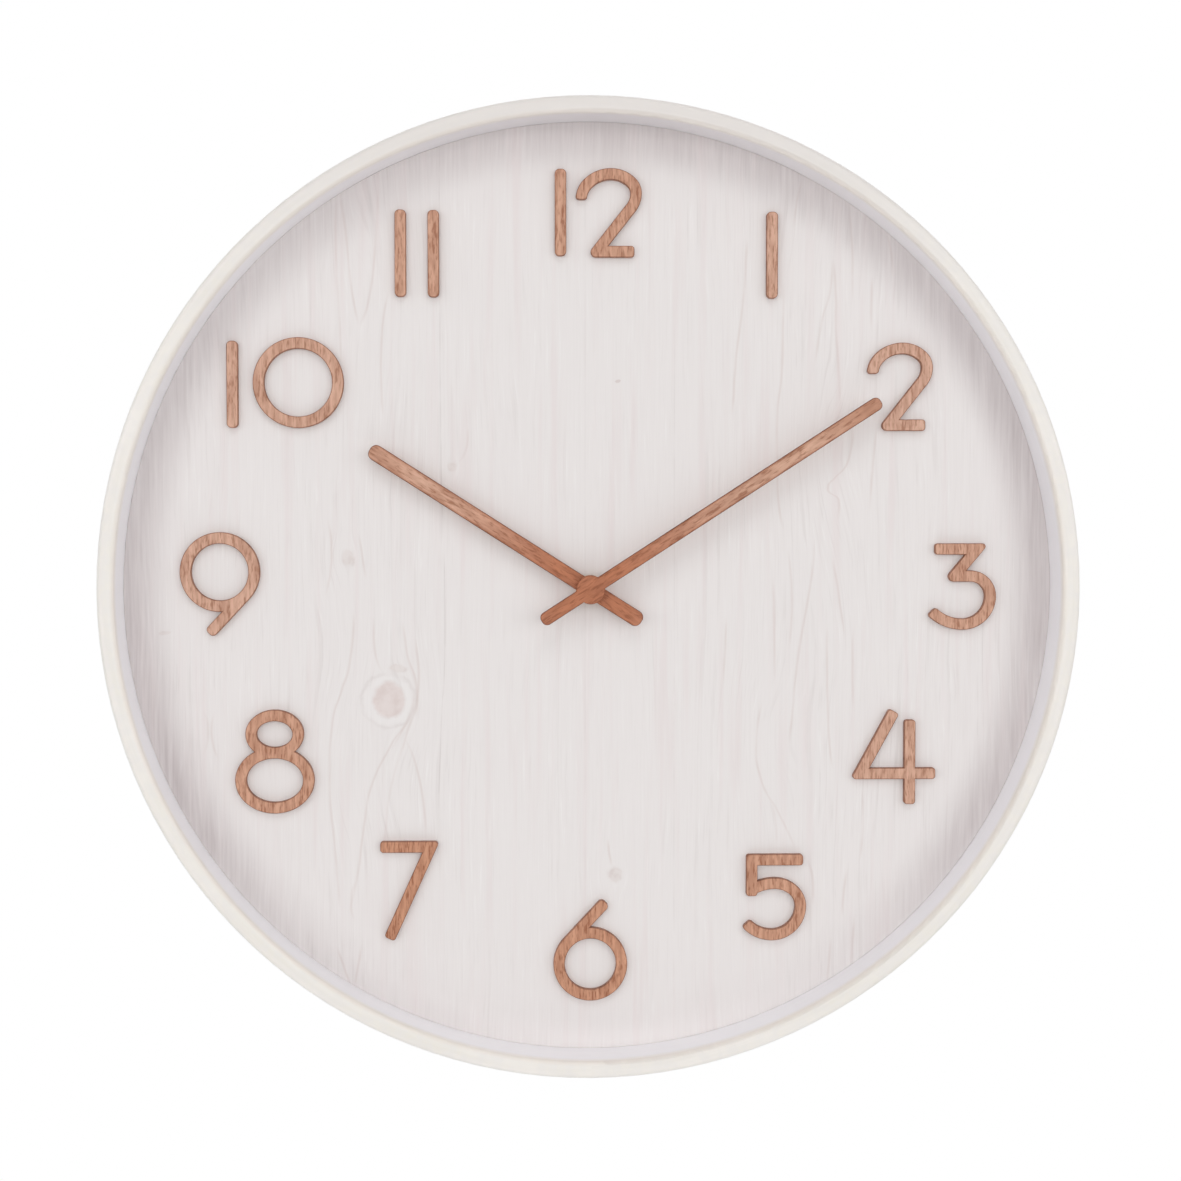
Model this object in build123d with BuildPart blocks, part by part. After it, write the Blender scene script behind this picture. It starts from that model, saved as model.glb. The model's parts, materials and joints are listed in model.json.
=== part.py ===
from build123d import *
import os
from math import cos, pi, radians, sin

# Wall clock: a bent-wood hoop round a whitewashed dial, with raised wooden numerals,
# two wooden hands and a quartz movement behind the dial.
# Millimetres. +Z is up, the dial faces -Y, +X is to the right of someone reading the clock.
# The origin is on the axis of the hands, halfway through the depth.
# A level is a distance from the origin towards the reader, so it is -Y.

# Case and dial
case_diameter = 400.0
case_depth = 45.0
case_wall = 7.0
lip_radius = 1.6
rear_chamfer = 0.8
dial_recess = 23.0
dial_thickness = 4.0
glue_gap = 0.15
dial_gap = 0.08
support_width = 18.0
support_inset = 1.0

# Hanging plate at the top of the back
plate_length = 42.0
plate_height = 15.0
plate_thickness = 1.5
plate_corner = 3.0
plate_centre_z = 184.0
entry_radius = 4.5
entry_drop = 2.5
neck_radius = 2.1
neck_rise = 5.0
head_room = 6.0
head_room_margin = 0.8
screw_spacing = 33.0
screw_radius = 1.4
screw_head_radius = 3.0
screw_reach = 10.0
screw_play = 0.05
recess_span = 3.6
recess_width = 0.9
recess_depth = 1.0

# Numerals
numeral_thickness = 3.0
stroke = 4.7
bar_height = 35.7
bar_round = 1.9
end_round = 1.3
tail_round = 1.8
corner_round = 2.2
edge_break = 0.3

# Hands
hand_thickness = 2.0
minute_hand_thickness = 2.4
boss_radius = 5.9
hour_length = 107.5
hour_tail = 25.0
hour_width = 6.6
hour_angle = 302.5
minute_length = 142.4
minute_tail = 24.0
minute_width = 5.5
minute_angle = 57.0
hand_end_share = 0.42
minute_boss_skin = 0.8
hour_hand_clearance = 1.3
hand_spacing = 2.4

# Movement
movement_size = 56.0
movement_drop = 1.0
movement_depth = 16.0
shell_wall = 1.2
shell_corner = 2.5
stem_radius = 4.0
stem_length = 8.8
stem_play = 0.2
washer_play = 0.1
rubber_thickness = 0.8
rubber_radius = 14.0
washer_thickness = 0.5
washer_radius = 5.7
nut_thickness = 2.2
nut_flats = 10.0
running_gap = 0.05
arbor_play = 0.075
hour_pipe_radius = 2.5
hour_pipe_reach = 3.5
minute_pipe_radius = 1.7
minute_pipe_reach = 6.9
minute_stub_radius = 1.0
minute_stub_overhang = 0.1
seconds_arbor_radius = 0.62
arbor_radius = 0.45
reverse_arbor_radius = 0.75
pivot_depth = 0.6
pivot_reach = 1.5
plate_pivot_inset = 0.1
bearing_boss_radius = 1.5
bearing_boss_gap = 0.3
wheel_thickness = 0.8
knob_sink = 0.1
knob_gap = 0.3
board_thickness = 0.8

# Cell and its trough
cell_radius = 7.1
cell_length = 50.5
cell_nub_radius = 2.7
cell_nub_length = 1.3
cell_edge = 0.5
cell_z = -20.35
cell_sink = 0.5
trough_gap = 0.35
trough_wall = 1.0
contact_thickness = 0.4
contact_width = 3.4
contact_gap = 0.1
contact_inset = 0.2

# Levels, from the reader's side to the wall
front_level = case_depth / 2
wall_level = -case_depth / 2
dial_front = front_level - dial_recess
dial_back = dial_front - dial_thickness
support_back = wall_level + support_inset
movement_front = dial_back - rubber_thickness
movement_back = movement_front - movement_depth
inside_front = movement_front - shell_wall
cover_front = movement_back + shell_wall
stem_end = movement_front + stem_length
nut_front = dial_front + washer_thickness + nut_thickness
hour_pipe_end = stem_end + hour_pipe_reach
minute_pipe_end = stem_end + minute_pipe_reach
hour_hand_back = stem_end + hour_hand_clearance
hour_hand_front = hour_hand_back + hand_thickness
minute_hand_back = hour_hand_front + hand_spacing
minute_hand_front = minute_hand_back + minute_hand_thickness
cell_level = cover_front + cell_radius - cell_sink

# Radii and edges worked out from the sizes above
case_radius = case_diameter / 2
case_bore = case_radius - case_wall
support_radius = case_bore - support_width
shell_right = movement_size / 2
shell_top = movement_size / 2 - movement_drop
shell_bottom = -movement_size / 2 - movement_drop
inner_right = shell_right - shell_wall
inner_top = shell_top - shell_wall
trough_radius = cell_radius + trough_gap
trough_top = cell_z + trough_radius
cavity_bottom = trough_top + trough_wall
cover_bottom = trough_top + trough_wall / 2

# Tooth counts and modules of the six meshes, and the axes that they fix
rotor_teeth, fifth_teeth, rotor_module = 8, 48, 0.30
fifth_pinion_teeth, seconds_teeth, fifth_module = 8, 40, 0.40
seconds_pinion_teeth, third_teeth, seconds_module = 8, 60, 0.36
third_pinion_teeth, centre_teeth, third_module = 8, 64, 0.34
cannon_teeth, reverse_teeth, cannon_module = 12, 36, 0.55
reverse_pinion_teeth, hour_teeth, reverse_module = 10, 40, 0.528
third_bearing = 170.0
fifth_bearing = 20.0
rotor_bearing = 60.0
reverse_bearing = 80.0

# Share of the angular pitch that half a tooth takes at its root and tip, and its height in modules
root_half_share = 0.24
tip_half_share = 0.10
addendum = 0.75
dedendum = 1.0


def centre_distance(teeth, other_teeth, module):
    """How far apart the axes of two meshing gears stand."""
    return (teeth + other_teeth) * module / 2


def polar(distance, bearing, origin=(0.0, 0.0)):
    """The point at a distance and bearing from another, anticlockwise from +X on the dial."""
    angle = radians(bearing)
    return (origin[0] + distance * cos(angle), origin[1] + distance * sin(angle))


centre_axis = (0.0, 0.0)
third_axis = polar(centre_distance(third_pinion_teeth, centre_teeth, third_module), third_bearing)
fifth_axis = polar(centre_distance(fifth_pinion_teeth, seconds_teeth, fifth_module), fifth_bearing)
rotor_axis = polar(centre_distance(rotor_teeth, fifth_teeth, rotor_module), rotor_bearing, fifth_axis)
reverse_axis = polar(centre_distance(cannon_teeth, reverse_teeth, cannon_module), reverse_bearing)


def layer(depth, thickness):
    """The back and front level of a layer that starts a depth behind the movement's front wall."""
    front = inside_front - depth
    return (front - thickness, front)


# Each layer's depth and thickness
hour_layer = layer(0.3, 1.0)
reverse_pinion_layer = layer(0.3, 1.6)
cannon_layer = layer(1.6, 1.6)
reverse_layer = layer(1.9, 1.0)
centre_layer = layer(5.0, wheel_thickness)
third_pinion_layer = layer(4.9, 2.3)
bearing_plate_layer = layer(6.1, 0.8)
seconds_pinion_layer = layer(7.1, 1.4)
third_layer = layer(7.2, wheel_thickness)
magnet_layer = layer(7.4, 2.0)
stator_layer = layer(8.1, 0.8)
fifth_pinion_layer = layer(8.2, 1.6)
seconds_layer = layer(8.5, wheel_thickness)
core_layer = layer(8.9, 0.8)
rotor_pinion_layer = layer(9.6, 1.3)
fifth_layer = layer(9.8, wheel_thickness)
knob_floor_layer = layer(11.1, 1.0)
knob_layer = (movement_back + knob_sink, knob_floor_layer[0] - knob_gap)
board_layer = (bearing_plate_layer[0] - board_thickness, bearing_plate_layer[0])
contact_front = bearing_plate_layer[0] - contact_inset
contact_back = contact_front - contact_width


def on_axis(point, level):
    """A plane that faces the reader, at a level, with its origin on an axis of the dial."""
    return Plane((point[0], -level, point[1]), x_dir=(1, 0, 0), z_dir=(0, -1, 0))


def hand_plane(level, angle):
    """A plane that faces the reader, whose y runs along a hand at a clockwise angle from twelve."""
    turn = radians(angle)
    return Plane((0, -level, 0), x_dir=(cos(turn), 0, -sin(turn)), z_dir=(0, -1, 0))


def post(point, radius, back, front, mode=Mode.ADD):
    """A cylinder between two levels, on an axis of the dial, in the part being built."""
    with Locations((point[0], -back, point[1])):
        Cylinder(
            radius,
            front - back,
            rotation=(90, 0, 0),
            align=(Align.CENTER, Align.CENTER, Align.MIN),
            mode=mode,
        )


def block(left, right, bottom, top, back, front, mode=Mode.ADD):
    """A box between two levels, in the part being built."""
    with Locations(((left + right) / 2, -(back + front) / 2, (bottom + top) / 2)):
        Box(right - left, front - back, top - bottom, mode=mode)


# Digits: each function returns a flat face about its own origin, x right and y up

def mitre_tip(before, corner, after):
    """The outer point where two straight strokes meet."""
    to_before = (Vector(before) - Vector(corner)).normalized()
    to_after = (Vector(after) - Vector(corner)).normalized()
    half_turn = radians(to_before.get_angle(to_after) / 2)
    return Vector(corner) - (to_before + to_after).normalized() * (stroke / 2 / sin(half_turn))


def pen_stroke(path, rounding, corners=()):
    """One stroke of a digit: eased at its two ends and rounded at its mitred corners."""
    line = Wire.combine(path.edges())[0]
    ends = (line @ 0, line @ 1)
    with BuildSketch() as face:
        trace(path, stroke)
        for end in ends:
            fillet(face.vertices().sort_by_distance(end)[0:2], rounding)
        for corner, radius in corners:
            fillet(face.vertices().sort_by_distance(mitre_tip(*corner))[0:1], radius)
    return face.sketch


def arc_run(start, direction, arcs):
    """Tangent arcs, one after the other, each a radius and a turn: returns where they end and head."""
    for radius, turn in arcs:
        arc = JernArc(start, direction, radius, turn)
        start, direction = arc @ 1, arc % 1
    return start, direction


def ring(radius):
    """A closed round stroke."""
    with BuildSketch() as face:
        Circle(radius + stroke / 2)
        Circle(radius - stroke / 2, mode=Mode.SUBTRACT)
    return face.sketch


def digit_one():
    with BuildSketch() as face:
        RectangleRounded(stroke, bar_height, bar_round)
    return face.sketch


def digit_two():
    crown, foot = (1.0, 15.85), (10.6, -16.0)
    hook_arcs = [(13.6, 45), (9.3, 45)]
    bowl_arcs = [(12.0, -45), (6.2, -45), (9.5, -38.2)]
    with BuildLine() as path:
        arc_run(crown, (-1, 0), hook_arcs)
        neck, slope = arc_run(crown, (1, 0), bowl_arcs)
        corner = neck + slope * ((foot[1] - neck.Y) / slope.Y)
        Line(neck, corner)
        Line(corner, foot)
    return pen_stroke(path.line, end_round, [((neck, corner, foot), corner_round)])


def digit_three():
    bar_left, bar_right = (-11.4, 15.75), (6.3, 15.75)
    waist, waist_end = (-3.1, 4.45), (3.6, 4.45)
    bowl_arcs = [(8.4, -90), (11.7, -90), (18.0, -46)]
    with BuildLine() as path:
        Polyline(bar_left, bar_right, waist, waist_end)
        arc_run(waist_end, (1, 0), bowl_arcs)
    corners = [
        ((bar_left, bar_right, waist), end_round),
        ((bar_right, waist, waist_end), corner_round),
    ]
    return pen_stroke(path.line, end_round, corners)


def digit_four():
    top, corner, right = (-0.1, 19.0), (-14.3, -7.1), (17.3, -7.1)
    upright_place, upright_height = (6.5, -2.3), 35.4
    with BuildLine() as path:
        Polyline(top, corner, right)
    with BuildSketch() as face:
        add(pen_stroke(path.line, end_round, [((top, corner, right), end_round)]))
        with Locations(upright_place):
            RectangleRounded(stroke, upright_height, end_round)
    return face.sketch


def digit_five():
    bar_right, corner, foot = (12.0, 15.6), (-9.5, 15.6), (-9.5, 0.4)
    crown = (0.2, 5.7)
    shoulder_arcs = [(19.0, 29)]
    bowl_arcs = [(11.6, -45), (8.8, -45), (12.0, -90), (14.5, -48.5)]
    with BuildLine() as flag:
        Polyline(bar_right, corner, foot)
    with BuildLine() as bowl:
        arc_run(crown, (-1, 0), shoulder_arcs)
        arc_run(crown, (1, 0), bowl_arcs)
    with BuildSketch() as face:
        add(pen_stroke(flag.line, end_round, [((bar_right, corner, foot), end_round)]))
        add(pen_stroke(bowl.line, end_round))
    return face.sketch


def digit_six(radius, tail):
    """A ring with a straight tail that leaves it at the upper left, about the ring's centre."""
    tail_root, tail_bearing = 137.0, 47.0
    start = polar(radius, tail_root)
    end = polar(tail, tail_bearing, start)
    with BuildLine() as path:
        Line(start, end)
    with BuildSketch() as face:
        trace(path.line, stroke)
        fillet(face.vertices().sort_by_distance(end)[0:2], tail_round)
        add(ring(radius))
    return face.sketch


def digit_seven():
    left, corner, foot = (-11.9, 18.15), (9.2, 18.15), (-8.2, -20.3)
    with BuildLine() as path:
        Polyline(left, corner, foot)
    return pen_stroke(path.line, end_round, [((left, corner, foot), end_round)])


def digit_eight():
    """Two oval rings that share the stroke at the waist."""
    waist = 3.7
    ovals = [(9.7, 7.75, 1), (14.0, 11.45, -1)]
    half = stroke / 2
    with BuildSketch() as face:
        for width, height, side in ovals:
            with Locations((0, waist + side * height)):
                Ellipse(width + half, height + half)
        for width, height, side in ovals:
            with Locations((0, waist + side * height)):
                Ellipse(width - half, height - half, mode=Mode.SUBTRACT)
    return face.sketch


def digit_nine(radius, tail):
    """A six upside down, about its ring's centre."""
    with BuildSketch() as face:
        add(digit_six(radius, tail), rotation=180)
    return face.sketch


digit_faces = {
    "0": ring(16.3),
    "1": digit_one(),
    "2": digit_two(),
    "3": digit_three(),
    "4": digit_four(),
    "5": digit_five(),
    "6": digit_six(13.05, 23.3),
    "7": digit_seven(),
    "8": digit_eight(),
    "9": digit_nine(14.1, 21.7),
}

# Where each digit's origin stands on the dial: the digit, x and z
numeral_places = {
    1: [("1", 75.4, 138.2)],
    2: [("2", 128.9, 84.05)],
    3: [("3", 155.3, 0.75)],
    4: [("4", 127.3, -70.3)],
    5: [("5", 77.2, -129.1)],
    6: [("6", 0.1, -156.85)],
    7: [("7", -75.45, -125.5)],
    8: [("8", -130.8, -71.5)],
    9: [("9", -152.95, 7.2)],
    10: [("1", -147.35, 84.5), ("0", -120.3, 85.25)],
    11: [("1", -78.15, 138.45), ("1", -64.6, 138.3)],
    12: [("1", -12.2, 155.4), ("2", 7.7, 155.4)],
}

numerals = {}
for hour, places in numeral_places.items():
    with BuildPart() as numeral:
        for digit, x, z in places:
            with BuildSketch(on_axis((x, z), dial_front)):
                add(digit_faces[digit])
        extrude(amount=numeral_thickness)
        chamfer(numeral.faces().group_by(Axis.Y)[0].edges(), edge_break)
    numerals[f"numeral_{hour:02d}"] = numeral.part


# Case ring: a hoop with an eased lip
with BuildPart() as case_ring:
    with BuildSketch(Plane.XY) as hoop_section:
        with Locations((case_radius - case_wall / 2, 0)):
            Rectangle(case_wall, case_depth)
        fillet(hoop_section.vertices().group_by(Axis.Y)[0], lip_radius)
        chamfer(hoop_section.vertices().group_by(Axis.Y)[-1], rear_chamfer)
    revolve(axis=Axis.Y)

# Dial board, with the hole for the stem
with BuildPart() as dial_board:
    with BuildSketch(on_axis(centre_axis, dial_back)):
        Circle(case_bore - dial_gap)
        Circle(stem_radius + stem_play, mode=Mode.SUBTRACT)
    extrude(amount=dial_thickness)

# Support ring behind the dial, let in for the hanging plate and for the head of the wall's screw
plate_back = support_back
plate_front = plate_back + plate_thickness
entry_z = plate_centre_z - entry_drop
neck_z = plate_centre_z + neck_rise
screw_places = [(-screw_spacing / 2, plate_centre_z), (screw_spacing / 2, plate_centre_z)]
head_room_front = plate_front + head_room
head_room_radius = entry_radius + head_room_margin
with BuildPart() as support_ring:
    with BuildSketch(on_axis(centre_axis, support_back)):
        Circle(case_bore - glue_gap)
        Circle(support_radius, mode=Mode.SUBTRACT)
    extrude(amount=dial_back - support_back)
    with BuildSketch(on_axis((0, plate_centre_z), plate_back)):
        RectangleRounded(plate_length, plate_height, plate_corner)
    extrude(amount=plate_thickness, mode=Mode.SUBTRACT)
    post((0, entry_z), head_room_radius, plate_front, head_room_front, Mode.SUBTRACT)
    block(
        -head_room_radius, head_room_radius, entry_z, neck_z, plate_front, head_room_front, Mode.SUBTRACT
    )
    for place in screw_places:
        post(place, screw_radius, plate_front, plate_front + screw_reach, Mode.SUBTRACT)


def countersunk_head(place, play, mode=Mode.ADD):
    """The cone of a screw's head, flush with the back of the hanging plate."""
    with Locations((place[0], -plate_back, place[1])):
        Cone(
            screw_head_radius + play,
            screw_radius + play,
            plate_thickness,
            rotation=(90, 0, 0),
            align=(Align.CENTER, Align.CENTER, Align.MIN),
            mode=mode,
        )


# Hanging plate with its keyhole
with BuildPart() as keyhole_hanger:
    with BuildSketch(on_axis((0, plate_centre_z), plate_back)):
        RectangleRounded(plate_length - glue_gap, plate_height - glue_gap, plate_corner)
        with Locations((0, -entry_drop)):
            Circle(entry_radius, mode=Mode.SUBTRACT)
        with Locations((0, neck_rise)):
            Circle(neck_radius, mode=Mode.SUBTRACT)
        with Locations((0, (neck_rise - entry_drop) / 2)):
            Rectangle(2 * neck_radius, neck_rise + entry_drop, mode=Mode.SUBTRACT)
    extrude(amount=plate_thickness)
    for place in screw_places:
        countersunk_head(place, screw_play, Mode.SUBTRACT)

with BuildPart() as hanger_screws:
    for place in screw_places:
        countersunk_head(place, 0.0)
        post(place, screw_radius, plate_front, plate_front + screw_reach)
        with BuildSketch(on_axis(place, plate_back)):
            Rectangle(recess_span, recess_width)
            Rectangle(recess_width, recess_span)
        extrude(amount=recess_depth, mode=Mode.SUBTRACT)


# Hands: straight strips with a round boss, each on a metal bush
bush_radius = 3.6
bush_flange_radius = 4.6
bush_flange = 0.6
minute_bush_radius = 2.8

with BuildPart() as hour_hand:
    with BuildSketch(hand_plane(hour_hand_back, hour_angle)):
        with Locations((0, (hour_length - hour_tail) / 2)):
            RectangleRounded(hour_width, hour_length + hour_tail, hour_width * hand_end_share)
        Circle(boss_radius)
        Circle(bush_radius, mode=Mode.SUBTRACT)
    extrude(amount=hand_thickness)
    chamfer(hour_hand.faces().sort_by(Axis.Y)[0].outer_wire().edges(), edge_break)

with BuildPart() as hour_hand_bush:
    post(centre_axis, bush_radius, hour_hand_back, hour_hand_front)
    post(centre_axis, bush_flange_radius, hour_hand_back - bush_flange, hour_hand_back)
    post(centre_axis, hour_pipe_radius, hour_hand_back - bush_flange, hour_hand_front, Mode.SUBTRACT)

minute_socket_front = minute_hand_front - minute_boss_skin
with BuildPart() as minute_hand:
    with BuildSketch(hand_plane(minute_hand_back, minute_angle)):
        with Locations((0, (minute_length - minute_tail) / 2)):
            RectangleRounded(minute_width, minute_length + minute_tail, minute_width * hand_end_share)
        Circle(boss_radius)
    extrude(amount=minute_hand_thickness)
    chamfer(minute_hand.faces().sort_by(Axis.Y)[0].outer_wire().edges(), edge_break)
    post(centre_axis, minute_bush_radius, minute_hand_back, minute_socket_front, Mode.SUBTRACT)

with BuildPart() as minute_hand_bush:
    post(centre_axis, minute_bush_radius, minute_hand_back, minute_socket_front)
    post(centre_axis, bush_flange_radius, minute_hand_back - bush_flange, minute_hand_back)
    post(centre_axis, minute_pipe_radius, minute_hand_back - bush_flange, minute_pipe_end, Mode.SUBTRACT)


# Gears

def gear_face(teeth, module, tooth_bearing):
    """A gear's outline, with the middle of one tooth at a bearing."""
    pitch = 2 * pi / teeth
    root = module * (teeth / 2 - dedendum)
    tip = module * (teeth / 2 + addendum)
    flank = [
        (root, -root_half_share),
        (tip, -tip_half_share),
        (tip, tip_half_share),
        (root, root_half_share),
    ]
    first = radians(tooth_bearing)
    points = []
    for tooth in range(teeth):
        for radius, share in flank:
            angle = first + (tooth + share) * pitch
            points.append((radius * cos(angle), radius * sin(angle)))
    with BuildSketch() as face:
        with BuildLine():
            Polyline(*points, close=True)
        make_face()
    return face.sketch


def tooth_towards(bearing):
    """A driving gear points a tooth along the line of centres."""
    return bearing


def gap_back(bearing, teeth):
    """A driven gear points a gap back along the line of centres."""
    return bearing + 180 + 180 / teeth


def wheel(axis, toothed, posts, bores=()):
    """A moulded wheel: toothed rings (teeth, module, bearing, layer), then posts, then bores."""
    with BuildPart() as moulding:
        for teeth, module, bearing, (back, front) in toothed:
            with BuildSketch(on_axis(axis, back)):
                add(gear_face(teeth, module, bearing))
            extrude(amount=front - back)
        for radius, back, front in posts:
            post(axis, radius, back, front)
        for radius, back, front in bores:
            post(axis, radius, back, front, Mode.SUBTRACT)
    return moulding.part


minute_pipe_back = centre_layer[0] - minute_stub_overhang
minute_pipe = wheel(
    centre_axis,
    [(cannon_teeth, cannon_module, tooth_towards(reverse_bearing), cannon_layer)],
    [
        (minute_pipe_radius, cannon_layer[0], minute_pipe_end),
        (minute_stub_radius, minute_pipe_back, cannon_layer[0]),
    ],
    [(seconds_arbor_radius + arbor_play, minute_pipe_back, minute_pipe_end)],
)

hour_wheel = wheel(
    centre_axis,
    [(hour_teeth, reverse_module, gap_back(reverse_bearing + 180, hour_teeth), hour_layer)],
    [(hour_pipe_radius, hour_layer[0], hour_pipe_end)],
    [(minute_pipe_radius + running_gap, hour_layer[0], hour_pipe_end)],
)

reverse_wheel = wheel(
    reverse_axis,
    [
        (reverse_teeth, cannon_module, gap_back(reverse_bearing, reverse_teeth), reverse_layer),
        (reverse_pinion_teeth, reverse_module, tooth_towards(reverse_bearing + 180), reverse_pinion_layer),
    ],
    [(reverse_arbor_radius, knob_layer[0] + pivot_depth, inside_front + pivot_depth)],
)

# The centre wheel grips the minute pipe's stub only by friction, so the hands can be set
centre_hub_radius = 2.4
centre_hub_rise = 0.2
centre_wheel = wheel(
    centre_axis,
    [(centre_teeth, third_module, gap_back(third_bearing + 180, centre_teeth), centre_layer)],
    [(centre_hub_radius, centre_layer[0], centre_layer[1] + centre_hub_rise)],
    [(minute_stub_radius + running_gap, centre_layer[0], centre_layer[1] + centre_hub_rise)],
)

third_wheel = wheel(
    third_axis,
    [
        (third_pinion_teeth, third_module, tooth_towards(third_bearing + 180), third_pinion_layer),
        (third_teeth, seconds_module, gap_back(third_bearing, third_teeth), third_layer),
    ],
    [(arbor_radius, third_layer[0] - pivot_reach, inside_front + pivot_depth)],
)

seconds_wheel = wheel(
    centre_axis,
    [
        (seconds_pinion_teeth, seconds_module, tooth_towards(third_bearing), seconds_pinion_layer),
        (seconds_teeth, fifth_module, gap_back(fifth_bearing + 180, seconds_teeth), seconds_layer),
    ],
    [
        (seconds_arbor_radius, seconds_layer[0], stem_end),
        (arbor_radius, seconds_layer[0] - pivot_reach, seconds_layer[0]),
    ],
)

plate_pivot_front = bearing_plate_layer[1] - plate_pivot_inset
fifth_wheel = wheel(
    fifth_axis,
    [
        (fifth_pinion_teeth, fifth_module, tooth_towards(fifth_bearing + 180), fifth_pinion_layer),
        (fifth_teeth, rotor_module, gap_back(rotor_bearing + 180, fifth_teeth), fifth_layer),
    ],
    [(arbor_radius, fifth_layer[0] - pivot_reach, plate_pivot_front)],
)

magnet_radius = 3.0
rotor_pinion = wheel(
    rotor_axis,
    [(rotor_teeth, rotor_module, tooth_towards(rotor_bearing + 180), rotor_pinion_layer)],
    [(arbor_radius, rotor_pinion_layer[0] - pivot_reach, plate_pivot_front)],
)

with BuildPart() as rotor_magnet:
    post(rotor_axis, magnet_radius, *magnet_layer)
    post(rotor_axis, arbor_radius, *magnet_layer, Mode.SUBTRACT)

knob_ridges = 20
knob_module = 0.5
with BuildPart() as setting_knob:
    with BuildSketch(on_axis(reverse_axis, knob_layer[0])):
        add(gear_face(knob_ridges, knob_module, 0.0))
    extrude(amount=knob_layer[1] - knob_layer[0])
    knob_socket_back = knob_layer[0] + pivot_depth
    post(reverse_axis, reverse_arbor_radius, knob_socket_back, knob_layer[1], Mode.SUBTRACT)


# Movement case: front shell with the stem, the cell's trough and the pillars of the bearing plate
pillar_radius = 2.0
pillar_pin_radius = 0.8
pillar_places = [(-24.0, 22.5), (24.0, 22.5), (-24.0, -9.0), (24.0, -9.0)]
clip_width = 8.0
clip_length = 7.0
clip_z = 8.0
clip_gap = 0.15
notch_half_width = 9.0
with BuildPart() as movement_case:
    with BuildSketch(on_axis((0, -movement_drop), movement_back)):
        RectangleRounded(movement_size, movement_size, shell_corner)
    extrude(amount=movement_depth)
    block(
        -shell_right, shell_right, cover_bottom, shell_top, movement_back, cover_front, Mode.SUBTRACT
    )
    block(
        -inner_right, inner_right, cavity_bottom, inner_top, movement_back, inside_front, Mode.SUBTRACT
    )
    with Locations((0, -cell_level, cell_z)):
        Cylinder(trough_radius, 2 * inner_right, rotation=(0, 90, 0), mode=Mode.SUBTRACT)
    block(
        -inner_right, inner_right, cell_z - trough_radius, trough_top, movement_back, cell_level, Mode.SUBTRACT
    )
    block(
        -notch_half_width, notch_half_width, shell_bottom, cell_z, movement_back, cell_level, Mode.SUBTRACT
    )
    for side in (-1, 1):
        slot = sorted((side * (inner_right - 2 * contact_thickness), side * inner_right))
        block(*slot, cell_z, cavity_bottom, movement_back, contact_front, Mode.SUBTRACT)
        clip_slot = sorted((side * inner_right, side * shell_right))
        clip_low = clip_z - clip_width / 2 - clip_gap
        clip_high = clip_z + clip_width / 2 + clip_gap
        clip_front = cover_front + clip_length + clip_gap
        block(*clip_slot, clip_low, clip_high, cover_front, clip_front, Mode.SUBTRACT)
    for place in pillar_places:
        post(place, pillar_radius, bearing_plate_layer[1], inside_front)
        post(place, pillar_pin_radius, *bearing_plate_layer)
    post(centre_axis, stem_radius, movement_front, stem_end)
    post(centre_axis, hour_pipe_radius + running_gap, inside_front, stem_end, Mode.SUBTRACT)
    pivot_floor = inside_front + pivot_depth + running_gap
    post(third_axis, arbor_radius + running_gap, inside_front, pivot_floor, Mode.SUBTRACT)
    post(reverse_axis, reverse_arbor_radius + running_gap, inside_front, pivot_floor, Mode.SUBTRACT)

# Movement cover: rear lid with bearing bosses, the setting knob's well and two clips
well_radius = 6.5
well_wall = 0.8
bearing_bosses = [
    (centre_axis, seconds_layer[0]),
    (third_axis, third_layer[0]),
    (fifth_axis, fifth_layer[0]),
    (rotor_axis, rotor_pinion_layer[0]),
]
with BuildPart() as movement_cover:
    with BuildSketch(on_axis((0, (shell_top + cover_bottom) / 2), movement_back)) as lid_face:
        Rectangle(movement_size, shell_top - cover_bottom)
        fillet(lid_face.vertices().group_by(Axis.Y)[-1], shell_corner)
    extrude(amount=shell_wall)
    post(reverse_axis, well_radius + well_wall, cover_front, knob_floor_layer[1])
    post(reverse_axis, well_radius, movement_back, knob_floor_layer[0], Mode.SUBTRACT)
    post(reverse_axis, reverse_arbor_radius + running_gap, *knob_floor_layer, Mode.SUBTRACT)
    for axis, wheel_back in bearing_bosses:
        boss_front = wheel_back - bearing_boss_gap
        pivot_end = wheel_back - pivot_reach - running_gap
        post(axis, bearing_boss_radius, cover_front, boss_front)
        post(axis, arbor_radius + running_gap, pivot_end, boss_front, Mode.SUBTRACT)
    for side in (-1, 1):
        clip_sides = sorted((side * inner_right, side * shell_right))
        clip_low, clip_high = clip_z - clip_width / 2, clip_z + clip_width / 2
        block(*clip_sides, clip_low, clip_high, cover_front, cover_front + clip_length)

# Bearing plate between the motion work and the going train
plate_margin = 0.8
pinion_hole_radius = 2.2
bearing_holes = [
    (centre_axis, seconds_arbor_radius + arbor_play),
    (third_axis, pinion_hole_radius),
    (fifth_axis, arbor_radius + running_gap),
    (rotor_axis, arbor_radius + running_gap),
    (reverse_axis, reverse_arbor_radius + running_gap),
] + [(place, pillar_pin_radius) for place in pillar_places]
with BuildPart() as bearing_plate:
    block(
        plate_margin - inner_right,
        inner_right - plate_margin,
        cavity_bottom + plate_margin,
        inner_top - plate_margin,
        *bearing_plate_layer,
    )
    for axis, radius in bearing_holes:
        post(axis, radius, *bearing_plate_layer, Mode.SUBTRACT)

# What holds the movement to the dial
with BuildPart() as rubber_washer:
    post(centre_axis, rubber_radius, movement_front, dial_back)
    post(centre_axis, stem_radius + stem_play, movement_front, dial_back, Mode.SUBTRACT)

with BuildPart() as dial_washer:
    post(centre_axis, washer_radius, dial_front, dial_front + washer_thickness)
    post(centre_axis, stem_radius + washer_play, dial_front, dial_front + washer_thickness, Mode.SUBTRACT)

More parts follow.
